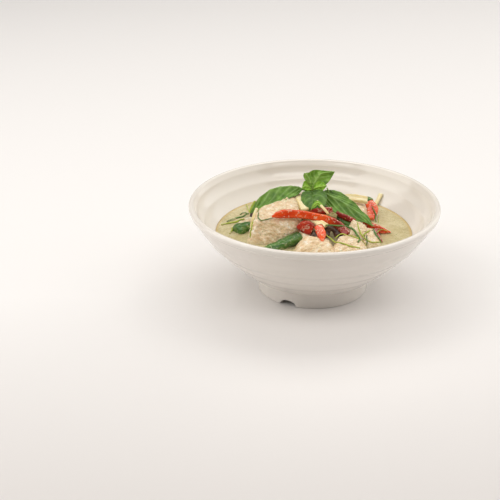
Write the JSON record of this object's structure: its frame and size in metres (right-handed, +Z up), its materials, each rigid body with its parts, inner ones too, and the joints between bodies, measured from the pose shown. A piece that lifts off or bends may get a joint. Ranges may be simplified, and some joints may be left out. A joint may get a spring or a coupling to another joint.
{
  "type": "bowl of thai green curry",
  "caption": "Flared white bowl on a foot ring, filled with pale green coconut curry, chicken, green beans, red pepper, bamboo shoot and eggplant, and topped with a basil sprig.",
  "frame": {"origin": "on the bowl's axis, at the plane that the foot ring stands on", "axes": "+Z up along the bowl's axis, -Y towards the front of the serving, +X to the right seen from the front"},
  "size_m": [0.18, 0.18, 0.0838],
  "materials": {
    "bowl": "glossy off-white, with specks and small nicks",
    "sauce": "wet, opaque pale grey-green with fine dark green flecks and an oily rim",
    "chicken": "moist poached flesh with a coat of sauce",
    "bean": "cooked, smooth skin, wet",
    "pepper": "cooked, smooth wet skin with sauce flecks",
    "bamboo": "fibrous, damp",
    "eggplant": "cooked soft, dark skin and olive-brown flesh",
    "basil": "fresh leaf, satin, veined"
  },
  "bodies": {
    "root": {"bowl": "bowl", "curry_sauce": "sauce", "basil_sprig": "basil", "pepper_long": "pepper", "pepper_square": "pepper", "pepper_wedge": "pepper", "pepper_under_leaf": "pepper", "pepper_behind_leaf": "pepper", "pepper_right": "pepper", "pepper_sliver": "pepper", "pepper_back": "pepper", "pepper_rear": "pepper", "bamboo_left": "bamboo", "bamboo_middle": "bamboo", "bamboo_back": "bamboo", "bamboo_wall": "bamboo", "bamboo_rim": "bamboo", "bamboo_strand": "bamboo", "bamboo_rear": "bamboo", "eggplant_curl": "eggplant", "eggplant_flesh": "eggplant", "eggplant_dark": "eggplant", "eggplant_sliver": "eggplant", "bean_left": "bean", "bean_front": "bean", "bean_middle": "bean", "bean_back": "bean", "bean_rear": "bean", "chicken_left": "chicken", "chicken_front": "chicken", "chicken_right_low": "chicken", "chicken_right_high": "chicken", "chicken_right_far": "chicken", "chicken_nub": "chicken", "chicken_sunk": "chicken", "chicken_centre": "chicken", "chicken_back": "chicken", "chicken_rear": "chicken"}
  },
  "joints": []
}
